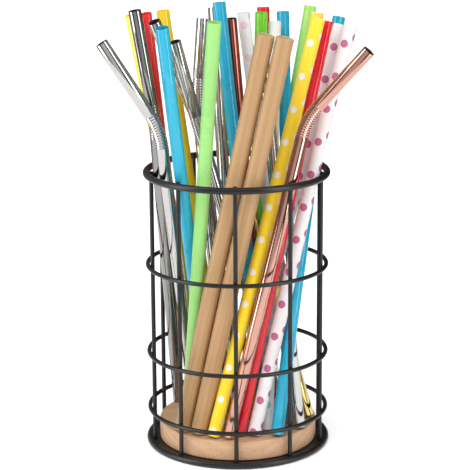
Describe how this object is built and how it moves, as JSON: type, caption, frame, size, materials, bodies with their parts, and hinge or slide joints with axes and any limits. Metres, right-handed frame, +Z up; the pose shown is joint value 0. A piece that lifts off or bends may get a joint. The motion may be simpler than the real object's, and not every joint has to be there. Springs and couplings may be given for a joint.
{
  "type": "straw holder",
  "caption": "Round wire cage on a wooden base, holding loose drinking straws of steel, plastic, paper and bamboo that lift out.",
  "frame": {"origin": "centre of the foot ring on the surface that it stands on, on the cage axis", "axes": "+Z up along the cage axis, -Y towards the viewer, +X to the right"},
  "size_m": [0.1279, 0.0918, 0.2202],
  "materials": {
    "cage_wire": "satin black powder coat",
    "oak_disc": "matt lacquered wood, light brown",
    "screw_zinc": "bright zinc plate",
    "polished_steel": "polished stainless steel",
    "gunmetal_steel": "dark polished steel",
    "copper_steel": "copper plated steel, dark red",
    "rose_gold_steel": "rose gold plated steel, satin",
    "gold_steel": "gold plated steel",
    "pale_yellow_plastic": "glossy",
    "yellow_plastic": "glossy",
    "red_plastic": "glossy",
    "blue_plastic": "glossy",
    "green_plastic": "glossy",
    "lime_plastic": "glossy",
    "light_green_paper": "matt coated paper",
    "dotted_white_paper": "matt paper, white with pastel dots",
    "magenta_dot_paper": "matt paper, white with magenta dots",
    "yellow_dot_paper": "matt paper, yellow with white dots",
    "bamboo": "plain sanded bamboo"
  },
  "bodies": {
    "holder": {"rim_ring": "cage_wire", "hoop_upper": "cage_wire", "hoop_middle": "cage_wire", "hoop_lower": "cage_wire", "foot_ring": "cage_wire", "base_plate": "cage_wire", "upright_01": "cage_wire", "upright_02": "cage_wire", "upright_03": "cage_wire", "upright_04": "cage_wire", "upright_05": "cage_wire", "upright_06": "cage_wire", "upright_07": "cage_wire", "upright_08": "cage_wire", "upright_09": "cage_wire", "upright_10": "cage_wire", "wood_base": "oak_disc", "base_screws": "screw_zinc"},
    "bent_steel_straw_1": {"bent_steel_straw_1": "polished_steel"},
    "yellow_straw_1": {"yellow_straw_1": "pale_yellow_plastic"},
    "bent_steel_straw_2": {"bent_steel_straw_2": "gunmetal_steel"},
    "thin_red_straw_1": {"thin_red_straw_1": "red_plastic"},
    "bent_steel_straw_3": {"bent_steel_straw_3": "polished_steel"},
    "yellow_straw_2": {"yellow_straw_2": "yellow_plastic"},
    "blue_straw_1": {"blue_straw_1": "blue_plastic"},
    "steel_straw_1": {"steel_straw_1": "polished_steel"},
    "bent_steel_straw_4": {"bent_steel_straw_4": "polished_steel"},
    "steel_straw_3": {"steel_straw_3": "polished_steel"},
    "green_paper_straw": {"green_paper_straw": "light_green_paper"},
    "blue_straw_2": {"blue_straw_2": "blue_plastic"},
    "copper_straw": {"copper_straw": "copper_steel"},
    "pastel_dot_straw_1": {"pastel_dot_straw_1": "dotted_white_paper"},
    "red_straw": {"red_straw": "red_plastic"},
    "green_straw": {"green_straw": "green_plastic"},
    "pastel_dot_straw_2": {"pastel_dot_straw_2": "dotted_white_paper"},
    "blue_straw_3": {"blue_straw_3": "blue_plastic"},
    "bamboo_straw_1": {"bamboo_straw_1": "bamboo"},
    "bamboo_straw_2": {"bamboo_straw_2": "bamboo"},
    "lime_straw": {"lime_straw": "lime_plastic"},
    "yellow_dot_straw_1": {"yellow_dot_straw_1": "yellow_dot_paper"},
    "yellow_dot_straw_2": {"yellow_dot_straw_2": "yellow_dot_paper"},
    "thin_red_straw_2": {"thin_red_straw_2": "red_plastic"},
    "blue_straw_4": {"blue_straw_4": "blue_plastic"},
    "magenta_dot_straw_1": {"magenta_dot_straw_1": "magenta_dot_paper"},
    "magenta_dot_straw_2": {"magenta_dot_straw_2": "magenta_dot_paper"},
    "bent_rose_gold_straw": {"bent_rose_gold_straw": "rose_gold_steel"},
    "steel_straw_2": {"steel_straw_2": "polished_steel"},
    "gold_steel_straw": {"gold_steel_straw": "gold_steel"}
  },
  "joints": [
    {"name": "bent_steel_straw_1_lift", "type": "slide", "parent": "holder", "child": "bent_steel_straw_1", "axis": [-0.0836, -0.3116, 0.9465], "range_m": [0, 0.137]},
    {"name": "yellow_straw_1_lift", "type": "slide", "parent": "holder", "child": "yellow_straw_1", "axis": [-0.1702, -0.1167, 0.9785], "range_m": [0, 0.132]},
    {"name": "bent_steel_straw_2_lift", "type": "slide", "parent": "holder", "child": "bent_steel_straw_2", "axis": [-0.0518, -0.2544, 0.9657], "range_m": [0, 0.134]},
    {"name": "thin_red_straw_1_lift", "type": "slide", "parent": "holder", "child": "thin_red_straw_1", "axis": [-0.0939, -0.1213, 0.9882], "range_m": [0, 0.131]},
    {"name": "bent_steel_straw_3_lift", "type": "slide", "parent": "holder", "child": "bent_steel_straw_3", "axis": [-0.0934, -0.0195, 0.9954], "range_m": [0, 0.13]},
    {"name": "yellow_straw_2_lift", "type": "slide", "parent": "holder", "child": "yellow_straw_2", "axis": [-0.1306, -0.0882, 0.9875], "range_m": [0, 0.131]},
    {"name": "blue_straw_1_lift", "type": "slide", "parent": "holder", "child": "blue_straw_1", "axis": [-0.0968, -0.2083, 0.9733], "range_m": [0, 0.133]},
    {"name": "steel_straw_1_lift", "type": "slide", "parent": "holder", "child": "steel_straw_1", "axis": [-0.2656, -0.1528, 0.9519], "range_m": [0, 0.136]},
    {"name": "bent_steel_straw_4_lift", "type": "slide", "parent": "holder", "child": "bent_steel_straw_4", "axis": [-0.0967, -0.0516, 0.994], "range_m": [0, 0.13]},
    {"name": "steel_straw_3_lift", "type": "slide", "parent": "holder", "child": "steel_straw_3", "axis": [-0.0538, 0.2747, 0.96], "range_m": [0, 0.135]},
    {"name": "green_paper_straw_lift", "type": "slide", "parent": "holder", "child": "green_paper_straw", "axis": [0.0736, -0.128, 0.989], "range_m": [0, 0.131]},
    {"name": "blue_straw_2_lift", "type": "slide", "parent": "holder", "child": "blue_straw_2", "axis": [-0.1041, 0.0245, 0.9943], "range_m": [0, 0.13]},
    {"name": "copper_straw_lift", "type": "slide", "parent": "holder", "child": "copper_straw", "axis": [-0.0816, -0.0615, 0.9948], "range_m": [0, 0.13]},
    {"name": "pastel_dot_straw_1_lift", "type": "slide", "parent": "holder", "child": "pastel_dot_straw_1", "axis": [-0.1237, -0.057, 0.9907], "range_m": [0, 0.131]},
    {"name": "red_straw_lift", "type": "slide", "parent": "holder", "child": "red_straw", "axis": [-0.0213, 0.1007, 0.9947], "range_m": [0, 0.13]},
    {"name": "green_straw_lift", "type": "slide", "parent": "holder", "child": "green_straw", "axis": [0.0272, -0.0325, 0.9991], "range_m": [0, 0.129]},
    {"name": "pastel_dot_straw_2_lift", "type": "slide", "parent": "holder", "child": "pastel_dot_straw_2", "axis": [0.0236, 0.2547, 0.9667], "range_m": [0, 0.134]},
    {"name": "blue_straw_3_lift", "type": "slide", "parent": "holder", "child": "blue_straw_3", "axis": [-0.0182, 0.2405, 0.9705], "range_m": [0, 0.133]},
    {"name": "bamboo_straw_1_lift", "type": "slide", "parent": "holder", "child": "bamboo_straw_1", "axis": [0.2034, -0.0639, 0.977], "range_m": [0, 0.132]},
    {"name": "bamboo_straw_2_lift", "type": "slide", "parent": "holder", "child": "bamboo_straw_2", "axis": [0.2078, -0.0548, 0.9766], "range_m": [0, 0.132]},
    {"name": "lime_straw_lift", "type": "slide", "parent": "holder", "child": "lime_straw", "axis": [0.1708, 0.09, 0.9812], "range_m": [0, 0.132]},
    {"name": "yellow_dot_straw_1_lift", "type": "slide", "parent": "holder", "child": "yellow_dot_straw_1", "axis": [0.1587, 0.1084, 0.9814], "range_m": [0, 0.132]},
    {"name": "yellow_dot_straw_2_lift", "type": "slide", "parent": "holder", "child": "yellow_dot_straw_2", "axis": [0.2432, 0.0942, 0.9654], "range_m": [0, 0.134]},
    {"name": "thin_red_straw_2_lift", "type": "slide", "parent": "holder", "child": "thin_red_straw_2", "axis": [0.2078, 0.1181, 0.971], "range_m": [0, 0.133]},
    {"name": "blue_straw_4_lift", "type": "slide", "parent": "holder", "child": "blue_straw_4", "axis": [0.1351, 0.2376, 0.9619], "range_m": [0, 0.134]},
    {"name": "magenta_dot_straw_1_lift", "type": "slide", "parent": "holder", "child": "magenta_dot_straw_1", "axis": [0.2594, 0.1462, 0.9546], "range_m": [0, 0.136]},
    {"name": "magenta_dot_straw_2_lift", "type": "slide", "parent": "holder", "child": "magenta_dot_straw_2", "axis": [0.2191, 0.1367, 0.9661], "range_m": [0, 0.134]},
    {"name": "bent_rose_gold_straw_lift", "type": "slide", "parent": "holder", "child": "bent_rose_gold_straw", "axis": [0.2326, 0.0513, 0.9712], "range_m": [0, 0.133]},
    {"name": "steel_straw_2_lift", "type": "slide", "parent": "holder", "child": "steel_straw_2", "axis": [-0.0947, 0.1662, 0.9815], "range_m": [0, 0.132]},
    {"name": "gold_steel_straw_lift", "type": "slide", "parent": "holder", "child": "gold_steel_straw", "axis": [-0.2639, 0.2309, 0.9365], "range_m": [0, 0.138]}
  ]
}
